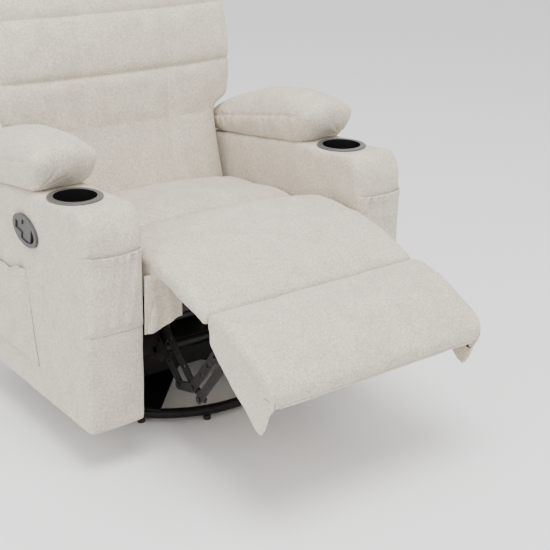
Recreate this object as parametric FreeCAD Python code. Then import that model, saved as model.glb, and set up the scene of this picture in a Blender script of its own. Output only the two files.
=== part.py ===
"""Swivel glider recliner armchair, shown with its footrest raised.

Millimetres, +Z up, +X towards the sitter's left, the chair faces -Y. Heights are measured from the floor.
Every Y below is measured from the swivel axis, and save() moves it so that the origin is the centre of
the whole chair's footprint.
"""

import FreeCAD, Part
import math
import os

# ---------------------------------------------------------------- driving dimensions
SWIVEL_Y = 185.0  # from the footprint's centre back to the swivel axis

# floor base and swivel bearing
RING_RADIUS = 304.0
RING_TUBE = 12.0
RING_Z = 24.0
HUB_HALF = 100.0
HUB_Z = 54.0
SHEET = 5.0
RACE_INNER = 70.0
RACE_OUTER = 95.0
BALL_TRACK = 82.5
BALL_RADIUS = 3.0
BALL_COUNT = 20
LEG_WIDTH = 96.0
KINGPIN = 8.0
RACE_Z = HUB_Z + SHEET
RACE_SHEET = 4.0
BALL_Z = RACE_Z + RACE_SHEET + 1.0
UPPER_RACE_Z = BALL_Z + 1.0
DECK_Z = UPPER_RACE_Z + RACE_SHEET

# glider: four equal links hang the seat carriage from the swivel deck
UPRIGHT_X = 203.0
GLIDE_LINK_X = 211.0
SIDE_PLATE_X = 224.0
GLIDE_PIVOT_Y = 110.0
GLIDE_TOP_Z = 230.0
GLIDE_LOW_Z = 125.0
GLIDE_PIN = 5.0
GLIDE_BUSH = 8.0
CROSS_TUBE = 10.0
FRONT_TUBE = (-304.0, 226.0)
REAR_TUBE = (196.0, 236.0)
LATCH_PIVOT = (-236.0, 300.0)

# footrest linkage: pivots in the (Y, Z) plane with the footrest raised
DRIVE_PIVOT = (-340.0, 315.0)
IDLER_PIVOT = (-285.0, 300.0)
BOARD_PIVOT = (-592.0, 355.0)
BOARD_TOP = (-598.0, 372.0)
BOARD_SHUT = (-385.0, 318.0)  # where BOARD_TOP comes to with the footrest shut
FOLD_ANGLE = 82.0
CONTROL_ARM = 36.0
CONTROL_ANGLE = 200.0
DRIVE_TUBE = 11.0
RIVET = 4.0
RIVET_HEAD = 7.0
LINK_HALF = 11.0
LINK_SHEET = 3.0
DRIVE_LINK_X = 230.0
COUPLER_X = 236.0
CONTROL_X = 242.0
BRACKET_X = 248.0

# footrest board and pad
BOARD_ANGLE = 203.0
BOARD_LENGTH = 205.0
BOARD_SHEET = 12.0
BOARD_HALF = 268.0
FOOT_HALF = 281.0
SKIRT_TIP = (-769.0, 232.0)

# seat and arms
ARM_INNER = 296.0
ARM_OUTER = 440.0
ARM_FRONT = -380.0
ARM_REAR = 300.0
ARM_LOW = 103.0
ARM_TOP = 594.0
ARM_WALL = 18.0
SEAT_HALF = 289.0
RAIL_LOW = 336.0
RAIL_TOP = 372.0
CUSHION_LOW = 378.0
CUP_X = 373.0
CUP_Y = -230.0
CUP_BORE = 47.5
CUP_DEPTH = 78.0
FLANGE = 61.0

# pull handle on the sitter's right arm
HANDLE_Y = -123.0
HANDLE_Z = 502.0
HANDLE_TILT = 10.5
HANDLE_PIVOT = -38.0

# back
RECLINE_PIVOT = (235.0, 325.0)
LEAN = 14.0
BACK_FOOT = (136.0, 440.0)
BACK_HALF = 284.0
WING_HALF = 345.0
WING_LOW = 660.0
BACK_TOP = 1030.0

V = FreeCAD.Vector
X_AXIS = V(1, 0, 0)
Z_AXIS = V(0, 0, 1)
ORIGIN = V(0, 0, 0)


# ---------------------------------------------------------------- helpers
def box(x0, x1, y0, y1, z0, z1):
    return Part.makeBox(x1 - x0, y1 - y0, z1 - z0, V(x0, y0, z0))


def prism(outline, x0, x1):
    """An outline of (Y, Z) points, extruded along X."""
    points = [V(x0, y, z) for y, z in outline]
    face = Part.Face(Part.makePolygon(points + points[:1]))
    return face.extrude(V(x1 - x0, 0, 0))


def rod_x(centre, radius, x0, x1):
    return Part.makeCylinder(radius, x1 - x0, V(x0, centre[0], centre[1]), X_AXIS)


def rod_z(x, y, radius, z0, z1):
    return Part.makeCylinder(radius, z1 - z0, V(x, y, z0), Z_AXIS)


def annulus(inner, outer, z0, z1):
    return rod_z(0, 0, outer, z0, z1).cut(rod_z(0, 0, inner, z0 - 1, z1 + 1))


def mirrored(shape):
    """The same piece on the other side of the chair's middle plane."""
    return shape.mirror(ORIGIN, X_AXIS)


def add(point, other, scale=1.0):
    return (point[0] + scale * other[0], point[1] + scale * other[1])


def polar(length, angle):
    return (length * math.cos(math.radians(angle)), length * math.sin(math.radians(angle)))


def bar(start, end, half, x0, x1):
    """A flat bar with round ends between two (Y, Z) points."""
    length = math.dist(start, end)
    side = ((start[1] - end[1]) / length * half, (end[0] - start[0]) / length * half)
    corners = [add(start, side), add(end, side), add(end, side, -1), add(start, side, -1)]
    body = prism(corners, x0, x1)
    return body.fuse([rod_x(start, half, x0, x1), rod_x(end, half, x0, x1)]).removeSplitter()


def drilled(shape, holes, x0, x1):
    """shape with (centre, radius) holes drilled through it along X."""
    return shape.cut([rod_x(centre, radius, x0 - 1, x1 + 1) for centre, radius in holes])


def rivet(centre, radius, head, x_shank, x_head, x_end):
    """A rivet along X: its shank from x_shank to x_head and its head from there to x_end."""
    shank = rod_x(centre, radius, min(x_shank, x_head), max(x_shank, x_head))
    cap = rod_x(centre, head, min(x_head, x_end), max(x_head, x_end))
    return shank.fuse(cap).removeSplitter()


def save(name, *shapes):
    """Writes one node, moved so that the footprint's centre is the origin."""
    solids = [solid for shape in shapes for solid in shape.Solids]
    whole = Part.makeCompound(solids) if len(solids) > 1 else solids[0]
    whole.translate(V(0, SWIVEL_Y, 0))
    whole.exportStep(os.path.join("parts", name + ".step"))


def save_pair(name, shape):
    """Writes a left-hand piece and its mirror image as two nodes."""
    right = mirrored(shape)
    save(name + "_left", shape)
    save(name + "_right", right)


# ---------------------------------------------------------------- floor base
def make_floor_base():
    ring = Part.makeTorus(RING_RADIUS, RING_TUBE, V(0, 0, RING_Z), Z_AXIS)
    save("base_ring", ring)

    ring_top = RING_Z + RING_TUBE
    leg_sheet = 4.0
    knee = 128.0
    # seen from the side, from the hub out to a tab that lies on the ring
    outline = [
        (60.0, HUB_Z - leg_sheet),
        (knee, HUB_Z - leg_sheet),
        (RING_RADIUS - 16.0, ring_top),
        (RING_RADIUS + 8.0, ring_top),
        (RING_RADIUS + 8.0, ring_top + leg_sheet),
        (RING_RADIUS - 16.0, ring_top + leg_sheet),
        (knee, HUB_Z),
        (60.0, HUB_Z),
    ]
    legs = []
    for number in range(4):
        leg = prism(outline, -LEG_WIDTH / 2, LEG_WIDTH / 2)
        leg.rotate(ORIGIN, Z_AXIS, 45.0 + 90.0 * number)
        legs.append(leg)
    save("base_legs", *legs)

    hub = box(-HUB_HALF, HUB_HALF, -HUB_HALF, HUB_HALF, HUB_Z, HUB_Z + SHEET)
    hub = hub.makeFillet(14.0, [e for e in hub.Edges if e.BoundBox.ZLength > SHEET / 2])
    save("hub_plate", hub.cut(rod_z(0, 0, KINGPIN, HUB_Z - 1, HUB_Z + SHEET + 1)))

    glide_radius = 9.0
    glides = []
    for number in range(12):
        angle = math.radians(15.0 + 30.0 * number)
        x = RING_RADIUS * math.cos(angle)
        y = RING_RADIUS * math.sin(angle)
        glides.append(rod_z(x, y, glide_radius, 0.0, RING_Z - RING_TUBE))
    save("floor_glides", *glides)


def make_bearing():
    groove = Part.makeTorus(BALL_TRACK, BALL_RADIUS + 0.1, V(0, 0, BALL_Z), Z_AXIS)
    save("lower_race", annulus(RACE_INNER, RACE_OUTER, RACE_Z, RACE_Z + RACE_SHEET).cut(groove))
    save("upper_race", annulus(RACE_INNER, RACE_OUTER, UPPER_RACE_Z, DECK_Z).cut(groove))

    balls = []
    pockets = []
    for number in range(BALL_COUNT):
        angle = 2.0 * math.pi * number / BALL_COUNT
        centre = V(BALL_TRACK * math.cos(angle), BALL_TRACK * math.sin(angle), BALL_Z)
        balls.append(Part.makeSphere(BALL_RADIUS, centre))
        pockets.append(rod_z(centre.x, centre.y, BALL_RADIUS + 0.2, BALL_Z - 2, BALL_Z + 2))
    save("bearing_balls", *balls)
    cage = annulus(BALL_TRACK - 6.0, BALL_TRACK + 6.0, BALL_Z - 0.5, BALL_Z + 0.5)
    save("ball_cage", cage.cut(pockets))

    head = rod_z(0, 0, 14.0, HUB_Z - 6.0, HUB_Z)
    shank = rod_z(0, 0, KINGPIN, HUB_Z, DECK_Z + SHEET + 3.0)
    nut = rod_z(0, 0, 14.0, DECK_Z + SHEET + 1.0, DECK_Z + SHEET + 9.0)
    save("swivel_kingpin", head.fuse([shank, nut]).removeSplitter())


# ---------------------------------------------------------------- glider
def make_swivel_deck():
    deck_half_y = 134.0
    deck = box(-UPRIGHT_X, UPRIGHT_X, -deck_half_y, deck_half_y, DECK_Z, DECK_Z + SHEET)
    deck = deck.makeFillet(20.0, [e for e in deck.Edges if e.BoundBox.ZLength > SHEET / 2])
    flange_half = 180.0
    flange_top = 114.0
    for y in (-deck_half_y, deck_half_y - SHEET):
        deck = deck.fuse(box(-flange_half, flange_half, y, y + SHEET, DECK_Z, flange_top))
    deck = deck.removeSplitter()
    save("deck_plate", deck.cut(rod_z(0, 0, KINGPIN + 0.05, DECK_Z - 1, DECK_Z + SHEET + 1)))

    outline = [(-112.0, DECK_Z), (112.0, DECK_Z), (132.0, 232.0), (122.0, 246.0)]
    outline += [(-122.0, 246.0), (-132.0, 232.0)]
    plate_end = UPRIGHT_X + LINK_SHEET
    upright = prism(outline, UPRIGHT_X, plate_end)
    holes = [((0.0, 170.0), 34.0), ((-62.0, 130.0), 16.0), ((62.0, 130.0), 16.0)]
    for y in (-GLIDE_PIVOT_Y, GLIDE_PIVOT_Y):
        holes.append(((y, GLIDE_TOP_Z), GLIDE_PIN))
    upright = drilled(upright, holes, UPRIGHT_X, plate_end)
    save("glider_uprights", upright, mirrored(upright))

    pins = []
    for y in (-GLIDE_PIVOT_Y, GLIDE_PIVOT_Y):
        pin = rivet((y, GLIDE_TOP_Z), GLIDE_PIN, GLIDE_BUSH, UPRIGHT_X, 217.5, 220.0)
        pins += [pin, mirrored(pin)]
    save("upper_glide_pins", *pins)


def make_glide_links():
    link_end = GLIDE_LINK_X + 4.0
    for name, y in (("front", -GLIDE_PIVOT_Y), ("rear", GLIDE_PIVOT_Y)):
        top = (y, GLIDE_TOP_Z)
        low = (y, GLIDE_LOW_Z)
        middle = (y, (GLIDE_TOP_Z + GLIDE_LOW_Z) / 2)
        link = bar(top, low, 14.0, GLIDE_LINK_X, link_end)
        holes = [(top, GLIDE_BUSH), (low, GLIDE_BUSH), (middle, 7.0)]
        link = drilled(link, holes, GLIDE_LINK_X, link_end)
        save(name + "_glide_links", link, mirrored(link))
        bushes = []
        for centre in (top, low):
            bush = rod_x(centre, GLIDE_BUSH, GLIDE_LINK_X - 1.0, link_end + 1.0)
            bush = drilled(bush, [(centre, GLIDE_PIN + 0.05)], GLIDE_LINK_X - 1.0, link_end + 1.0)
            bushes += [bush, mirrored(bush)]
        save(name + "_glide_bushes", *bushes)


# ---------------------------------------------------------------- seat carriage, steel
def make_side_plates():
    outline = [(-362.0, RAIL_LOW), (-364.0, 298.0), (-330.0, 206.0), (-262.0, 196.0)]
    outline += [(-150.0, 108.0), (150.0, 108.0), (206.0, 212.0), (256.0, 306.0)]
    outline += [(256.0, 345.0), (206.0, 345.0), (196.0, RAIL_LOW)]
    plate_end = SIDE_PLATE_X + LINK_SHEET
    plate = prism(outline, SIDE_PLATE_X, plate_end)
    holes = [
        (DRIVE_PIVOT, DRIVE_TUBE + 0.1),
        (IDLER_PIVOT, GLIDE_PIN),
        (FRONT_TUBE, CROSS_TUBE),
        (REAR_TUBE, CROSS_TUBE),
        (RECLINE_PIVOT, GLIDE_PIN + 1.0),
    ]
    for y in (-GLIDE_PIVOT_Y, GLIDE_PIVOT_Y):
        holes.append(((y, GLIDE_LOW_Z), GLIDE_PIN))
    for y in (-210.0, -165.0, -60.0, 0.0, 60.0):
        holes.append(((y, 300.0), 9.0))
    holes.append(((0.0, 190.0), 44.0))
    save_pair("side_plate", drilled(plate, holes, SIDE_PLATE_X, plate_end))

    pins = []
    for y in (-GLIDE_PIVOT_Y, GLIDE_PIVOT_Y):
        pin = rivet((y, GLIDE_LOW_Z), GLIDE_PIN, GLIDE_BUSH, plate_end, 209.5, 208.0)
        pins += [pin, mirrored(pin)]
    save("lower_glide_pins", *pins)

    for name, centre in (("front_cross_tube", FRONT_TUBE), ("rear_cross_tube", REAR_TUBE)):
        tube = rod_x(centre, CROSS_TUBE, -plate_end, plate_end)
        save(name, drilled(tube, [(centre, CROSS_TUBE - 1.5)], -plate_end, plate_end))

    pins = []
    idler = rivet(IDLER_PIVOT, GLIDE_PIN, GLIDE_BUSH, SIDE_PLATE_X, 233.5, 235.0)
    recline = rivet(RECLINE_PIVOT, GLIDE_PIN + 1.0, GLIDE_BUSH + 2.0, SIDE_PLATE_X, 235.3, 237.3)
    for pin in (idler, recline):
        pins += [pin, mirrored(pin)]
    latch_pin = rod_x(LATCH_PIVOT, GLIDE_PIN, 215.0, SIDE_PLATE_X)
    pins.append(mirrored(latch_pin))
    save("linkage_pins", *pins)


def make_latch():
    """The catch that holds the footrest shut, on the inside of the right-hand side plate."""
    x0 = 216.5
    x1 = 219.5
    lever = bar(LATCH_PIVOT, add(LATCH_PIVOT, (46.0, -10.0)), 8.0, x0, x1)
    hook = bar(LATCH_PIVOT, add(LATCH_PIVOT, (-40.0, -14.0)), 7.0, x0, x1)
    tooth = bar(add(LATCH_PIVOT, (-40.0, -14.0)), add(LATCH_PIVOT, (-40.0, -28.0)), 4.0, x0, x1)
    latch = lever.fuse([hook, tooth]).removeSplitter()
    latch = drilled(latch, [(LATCH_PIVOT, GLIDE_PIN + 0.05)], x0, x1)
    save("release_latch", mirrored(latch))


# ---------------------------------------------------------------- footrest linkage
def fold_pole():
    """The (Y, Z) point about which a turn by FOLD_ANGLE takes BOARD_TOP to BOARD_SHUT."""
    half_turn = math.tan(math.radians(FOLD_ANGLE / 2))
    middle = ((BOARD_TOP[0] + BOARD_SHUT[0]) / 2, (BOARD_TOP[1] + BOARD_SHUT[1]) / 2)
    chord = (BOARD_SHUT[0] - BOARD_TOP[0], BOARD_SHUT[1] - BOARD_TOP[1])
    return (middle[0] - chord[1] / 2 / half_turn, middle[1] + chord[0] / 2 / half_turn)


FOLD_POLE = fold_pole()
LINK_VECTOR = (BOARD_PIVOT[0] - FOLD_POLE[0], BOARD_PIVOT[1] - FOLD_POLE[1])
ELBOW = add(DRIVE_PIVOT, LINK_VECTOR)
IDLER_ELBOW = add(IDLER_PIVOT, LINK_VECTOR)
CONTROL_VECTOR = polar(CONTROL_ARM, CONTROL_ANGLE)
CONTROL_LOW = add(ELBOW, CONTROL_VECTOR)
CONTROL_TOP = add(BOARD_PIVOT, CONTROL_VECTOR)


def make_linkage():
    """Two parallelograms a side: drive link and idler link carry the coupler, and the control link
    keeps the board parallel to the drive link."""
    tube = rod_x(DRIVE_PIVOT, DRIVE_TUBE, -DRIVE_LINK_X - LINK_SHEET, DRIVE_LINK_X + LINK_SHEET)
    bore = [(DRIVE_PIVOT, DRIVE_TUBE - 1.5)]
    save("drive_tube", drilled(tube, bore, -DRIVE_LINK_X - LINK_SHEET, DRIVE_LINK_X + LINK_SHEET))

    x0 = DRIVE_LINK_X
    x1 = DRIVE_LINK_X + LINK_SHEET
    drive = bar(DRIVE_PIVOT, ELBOW, 12.0, x0, x1)
    drive = drive.fuse([bar(ELBOW, CONTROL_LOW, LINK_HALF, x0, x1), rod_x(DRIVE_PIVOT, 17.0, x0, x1)])
    holes = [(DRIVE_PIVOT, DRIVE_TUBE), (ELBOW, RIVET), (CONTROL_LOW, RIVET)]
    for share in (0.3, 0.5, 0.7):
        holes.append((add(DRIVE_PIVOT, LINK_VECTOR, share), 5.0))
    drive = drilled(drive.removeSplitter(), holes, x0, x1)
    elbow_rivet = rivet(ELBOW, RIVET, RIVET_HEAD, x0, 239.5, 241.0)
    control_rivet = rivet(CONTROL_LOW, RIVET, RIVET_HEAD, x0, 245.5, 247.0)
    for side, turn in (("left", lambda s: s), ("right", mirrored)):
        save("drive_link_" + side, turn(drive), turn(elbow_rivet), turn(control_rivet))

    idler = bar(IDLER_PIVOT, IDLER_ELBOW, LINK_HALF + 1.0, x0, x1)
    holes = [(IDLER_PIVOT, GLIDE_PIN + 0.05), (IDLER_ELBOW, RIVET)]
    for share in (0.35, 0.65):
        holes.append((add(IDLER_PIVOT, LINK_VECTOR, share), 4.5))
    idler = drilled(idler, holes, x0, x1)
    idler_rivet = rivet(IDLER_ELBOW, RIVET, RIVET_HEAD, x0, 239.5, 241.0)
    save("idler_links", idler, idler_rivet, mirrored(idler), mirrored(idler_rivet))

    x0 = COUPLER_X
    x1 = COUPLER_X + LINK_SHEET
    coupler = bar(IDLER_ELBOW, ELBOW, LINK_HALF, x0, x1)
    coupler = coupler.fuse(bar(ELBOW, BOARD_PIVOT, LINK_HALF, x0, x1)).removeSplitter()
    loose = RIVET + 0.15
    holes = [(IDLER_ELBOW, loose), (ELBOW, RIVET + 0.05), (BOARD_PIVOT, loose)]
    for share in (0.3, 0.5, 0.7):
        holes.append((add(ELBOW, (BOARD_PIVOT[0] - ELBOW[0], BOARD_PIVOT[1] - ELBOW[1]), share), 4.5))
    coupler = drilled(coupler, holes, x0, x1)
    save("coupler_links", coupler, mirrored(coupler))

    x0 = CONTROL_X
    x1 = CONTROL_X + LINK_SHEET
    control = bar(CONTROL_LOW, CONTROL_TOP, LINK_HALF - 1.0, x0, x1)
    control = drilled(control, [(CONTROL_LOW, RIVET + 0.05), (CONTROL_TOP, loose)], x0, x1)
    save("control_links", control, mirrored(control))


# ---------------------------------------------------------------- footrest
ALONG = polar(1.0, BOARD_ANGLE)
OUT = polar(1.0, BOARD_ANGLE - 90.0)


def on_board(along, out):
    """A (Y, Z) point from the board's lower rear corner: along the board, and up through it."""
    return add(add(BOARD_TOP, ALONG, along), OUT, out)


def make_footrest():
    outline = [on_board(0, 0), on_board(BOARD_LENGTH, 0)]
    outline += [on_board(BOARD_LENGTH, BOARD_SHEET), on_board(0, BOARD_SHEET)]
    save("footrest_board", prism(outline, -BOARD_HALF, BOARD_HALF))

    x0 = BRACKET_X
    x1 = BRACKET_X + LINK_SHEET
    web = prism([on_board(4, -0.5), on_board(96, -0.5), CONTROL_TOP, BOARD_PIVOT], x0, x1)
    web = web.fuse([bar(BOARD_PIVOT, CONTROL_TOP, LINK_HALF, x0, x1)])
    clear = prism([on_board(-40, 0), on_board(160, 0), on_board(160, 40), on_board(-40, 40)], 200, 280)
    web = web.cut(clear)
    foot = prism([on_board(4, -3), on_board(96, -3), on_board(96, 0), on_board(4, 0)], x0 - 20.0, x1)
    bracket = web.fuse(foot).removeSplitter()
    bracket = drilled(bracket, [(BOARD_PIVOT, RIVET), (CONTROL_TOP, RIVET)], x0, x1)
    top_rivet = rivet(BOARD_PIVOT, RIVET, RIVET_HEAD, x1, 235.7, 234.2)
    low_rivet = rivet(CONTROL_TOP, RIVET, RIVET_HEAD, x1, 241.7, 240.2)
    pieces = [bracket, top_rivet, low_rivet]
    save("footrest_brackets", *pieces, *[mirrored(piece) for piece in pieces])

    gap = BOARD_SHEET + 0.5
    outline = [on_board(-2, gap), on_board(BOARD_LENGTH + 6, gap), on_board(BOARD_LENGTH + 16, 10.0)]
    outline += [(-812.0, 322.0), (-813.0, 342.0), (-797.0, 366.0), (-760.0, 387.0), (-700.0, 413.0)]
    outline += [(-640.0, 428.0), (-591.5, 423.0), (-591.5, 394.0)]
    save("footrest_pad", prism(outline, -FOOT_HALF, FOOT_HALF))

    skirt = prism([on_board(0, 11), on_board(BOARD_LENGTH + 8, 11), SKIRT_TIP, on_board(5, -8)], 273.0, 278.0)
    save_pair("footrest_skirt", skirt)


# ---------------------------------------------------------------- seat
def make_seat():
    rail_y0 = -375.0
    rail_y1 = 156.0
    rail_width = 38.0
    inner = 222.0
    front = box(-ARM_INNER, ARM_INNER, rail_y0, rail_y0 + rail_width, RAIL_LOW, RAIL_TOP)
    rear = box(-ARM_INNER, ARM_INNER, rail_y1 - rail_width, rail_y1, RAIL_LOW, RAIL_TOP)
    side = box(inner, ARM_INNER, rail_y0 + rail_width, rail_y1 - rail_width, RAIL_LOW, RAIL_TOP)
    save("seat_frame", front, rear, side, mirrored(side))

    wire = 1.9
    spring_z = RAIL_TOP + wire + 0.1
    first_y = rail_y0 + 20.0
    pitch = 26.0
    waves = 10
    springs = []
    for x in (-184.0, -92.0, 0.0, 92.0, 184.0):
        springs.append(sinuous_spring(x, first_y, spring_z, pitch, waves, wire))
    save("seat_springs", *springs)

    outline = [(-163.0, CUSHION_LOW), (132.0, CUSHION_LOW), (130.0, 440.0), (122.0, 454.0)]
    outline += [(60.0, 466.0), (-60.0, 470.0), (-163.0, 462.0)]
    save("seat_cushion", prism(outline, -SEAT_HALF, SEAT_HALF))

    outline = [(-167.0, CUSHION_LOW), (-380.0, CUSHION_LOW), (-396.0, 398.0), (-396.0, 486.0)]
    outline += [(-362.0, 490.0), (-300.0, 489.0), (-230.0, 480.0), (-167.0, 464.0)]
    save("chaise_pad", prism(outline, -SEAT_HALF + 3.0, SEAT_HALF - 3.0))

    outline = [(-397.0, 447.0), (-431.0, 440.0), (-497.0, 422.0), (-588.0, 392.0), (-588.0, 424.0)]
    outline += [(-560.0, 444.0), (-500.0, 464.0), (-430.0, 481.0), (-397.0, 486.0)]
    save("chaise_bridge", prism(outline, -FOOT_HALF, FOOT_HALF))

    flap = box(170.0, 288.0, -384.0, -381.0, 306.0, CUSHION_LOW - 1.0)
    save("front_flaps", flap, mirrored(flap))

    rear_panel = box(-SEAT_HALF, SEAT_HALF, 266.0, 274.0, 112.0, 284.0)
    save("rear_panel", rear_panel)


def sinuous_spring(x, y0, z, pitch, waves, wire):
    """A zigzag wire spring along Y: straight runs across the seat, joined by half circles."""
    reach = 20.0
    edges = []
    for number in range(waves * 2):
        y = y0 + number * pitch
        side = reach if number % 2 == 0 else -reach
        edges.append(Part.makeLine(V(x - side, y, z), V(x + side, y, z)))
        if number < waves * 2 - 1:
            far = V(x + side + math.copysign(pitch / 2, side), y + pitch / 2, z)
            edges.append(Part.Arc(V(x + side, y, z), far, V(x + side, y + pitch, z)).toShape())
    path = Part.Wire(edges)
    section = Part.Wire(Part.makeCircle(wire, V(x - reach, y0, z), X_AXIS))
    return path.makePipeShell([section], True, False)


# ---------------------------------------------------------------- arms
def arm_block(inset, top):
    """The arm's outer form, shrunk by inset on every side."""
    x0 = ARM_INNER + inset
    x1 = ARM_OUTER - inset
    y0 = ARM_FRONT + inset
    y1 = ARM_REAR - inset
    low = ARM_LOW + inset
    outline = [(y0, low), (y1, low), (y1, 538.0 - inset), (-150.0, top - inset)]
    outline += [(-336.0, top - inset), (y0 + 14.0, 578.0 - inset), (y0, 545.0 - inset)]
    side_form = prism(outline, x0, x1)
    front_form = box(x0, x1, y0 - 10.0, y1 + 10.0, low, top)
    crown = [e for e in front_form.Edges if e.BoundBox.YLength > 100 and e.BoundBox.ZMin > top - 1]
    front_form = front_form.makeFillet(24.0, crown)
    return side_form.common(front_form)


def make_arms():
    shell = arm_block(0.0, ARM_TOP).cut(arm_block(ARM_WALL, ARM_TOP))
    shell = shell.cut(rod_z(CUP_X, CUP_Y, CUP_BORE + 4.0, ARM_TOP - CUP_DEPTH - 4.0, ARM_TOP + 10.0))
    save("arm_left", shell)
    recess = oval(50.0, 27.0, -ARM_WALL - 8.0, 8.0)
    save("arm_right", mirrored(shell).cut(recess))

    x0 = 340.0
    x1 = 372.0
    rail_low = box(x0, x1, -340.0, 262.0, 124.0, 164.0)
    rail_top = box(x0, x1, -340.0, 262.0, 436.0, 476.0)
    post_front = box(x0, x1, -340.0, -300.0, 164.0, 436.0)
    post_rear = box(x0, x1, 222.0, 262.0, 164.0, 436.0)
    frame = rail_low.fuse([rail_top, post_front, post_rear]).removeSplitter()
    save("arm_frames", frame, mirrored(frame))

    outline = [(-166.0, 595.0), (-177.0, 630.0), (-177.0, 655.0), (-160.0, 684.0), (-110.0, 700.0)]
    outline += [(-60.0, 702.0), (40.0, 688.0), (120.0, 667.0), (200.0, 640.0), (236.0, 614.0)]
    outline += [(238.0, 547.0), (-150.0, 595.0)]
    save_pair("arm_pad", prism(outline, 292.0, 444.0))

    cup_wall = 2.5
    floor_z = ARM_TOP - CUP_DEPTH
    flange_top = ARM_TOP + 4.0
    cup = rod_z(CUP_X, CUP_Y, CUP_BORE + cup_wall, floor_z, flange_top)
    cup = cup.fuse(rod_z(CUP_X, CUP_Y, FLANGE, ARM_TOP, flange_top)).removeSplitter()
    rim = [e for e in cup.Edges if e.BoundBox.ZMin > flange_top - 0.5]
    cup = cup.makeFillet(2.5, rim)
    cup = cup.cut(rod_z(CUP_X, CUP_Y, CUP_BORE, floor_z + 3.0, flange_top + 5.0))
    save_pair("cup_holder", cup)


def make_pockets():
    """Patch pockets: a panel held off the arm along its sides and bottom, and open at the top."""
    sheet = 4.0
    gap = 6.0
    x0 = ARM_INNER + 6.0
    x1 = ARM_OUTER - 6.0
    z0 = 334.0
    z1 = 509.0
    y0 = ARM_FRONT - gap - sheet
    panel = box(x0, x1, y0, ARM_FRONT, z0, z1)
    hollow = box(x0 + 8.0, x1 - 8.0, y0 + sheet, ARM_FRONT + 1.0, z0 + 8.0, z1 + 1.0)
    save_pair("front_pocket", panel.cut(hollow))

    x_out = -ARM_OUTER - gap - sheet
    outer = [(-108.0, 406.0), (-124.0, 338.0), (-137.0, 269.0), (-150.0, 184.0), (104.0, 184.0)]
    outer += [(104.0, 389.0), (-30.0, 389.0)]
    inner = [(-98.0, 420.0), (-115.0, 338.0), (-128.0, 269.0), (-140.0, 193.0), (95.0, 193.0)]
    inner += [(95.0, 420.0)]
    pocket = prism(outer, x_out, -ARM_OUTER)
    save("side_pocket", pocket.cut(prism(inner, x_out + sheet, -ARM_OUTER + 1.0)))


# ---------------------------------------------------------------- pull handle
def handle_placement():
    """Local x runs along the handle to the front, y across it, and z out of the arm."""
    tilt = math.radians(HANDLE_TILT)
    u = V(0, -math.cos(tilt), -math.sin(tilt))
    v = V(0, -math.sin(tilt), math.cos(tilt))
    rotation = FreeCAD.Rotation(u, v, V(-1, 0, 0), "XYZ")
    return FreeCAD.Placement(V(-ARM_OUTER, HANDLE_Y, HANDLE_Z), rotation)


def local_oval(major, minor, w0, w1):
    ellipse = Part.Ellipse(V(0, 0, w0), major, minor).toShape()
    return Part.Face(Part.Wire(ellipse)).extrude(V(0, 0, w1 - w0))


def oval(major, minor, w0, w1):
    shape = local_oval(major, minor, w0, w1)
    shape.Placement = handle_placement()
    return shape


def make_handle():
    placement = handle_placement()
    pivot_w = -4.0
    rim = local_oval(57.5, 34.0, 0.0, 6.0)
    bowl = local_oval(49.0, 26.0, -26.0, 0.0)
    cavity = local_oval(47.0, 24.0, -24.0, 0.0)
    # the face is open in front of slot_end for the fingers, and a slot for the paddle's neck behind it
    slot_end = -13.5
    mouth = local_oval(47.0, 24.0, -1.0, 7.0).common(Part.makeBox(70.0, 60.0, 8.0, V(slot_end, -30.0, -1.0)))
    slot = Part.makeBox(30.0, 20.0, 8.0, V(-43.0, -10.0, -1.0))
    opening = cavity.fuse([mouth, slot])
    pin = Part.makeCylinder(2.0, 30.6, V(HANDLE_PIVOT, -15.3, pivot_w), V(0, 1, 0))
    bezel = rim.fuse(bowl).removeSplitter().cut(opening).cut(pin)
    bezel.Placement = placement
    save("handle_bezel", bezel)

    barrel = Part.makeCylinder(4.0, 19.0, V(HANDLE_PIVOT, -9.5, pivot_w), V(0, 1, 0))
    neck = Part.makeBox(34.0, 18.0, 7.0, V(HANDLE_PIVOT, -9.0, pivot_w))
    blade = Part.makeBox(36.0, 60.0, 6.0, V(-10.0, -30.0, pivot_w + 1.0))
    blade = blade.common(local_oval(45.0, 22.5, -20.0, 10.0))
    paddle = barrel.fuse([neck, blade]).removeSplitter()
    bore = Part.makeCylinder(2.05, 40.0, V(HANDLE_PIVOT, -20.0, pivot_w), V(0, 1, 0))
    paddle = paddle.cut(bore)
    paddle.Placement = placement
    save("handle_paddle", paddle)

    pin.Placement = placement
    save("handle_pin", pin)

    ferrule = Part.makeCylinder(5.0, 14.0, V(14.0, 0, -40.0), Z_AXIS)
    ferrule = ferrule.cut(Part.makeCylinder(1.5, 16.0, V(14.0, 0, -41.0), Z_AXIS))
    ferrule.Placement = placement
    save("cable_ferrule", ferrule)


# ---------------------------------------------------------------- back
def on_back(depth, z):
    """A (Y, Z) point at height z, depth behind the back's leaning front plane."""
    return (BACK_FOOT[0] + (z - BACK_FOOT[1]) * math.tan(math.radians(LEAN)) + depth, z)


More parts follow.
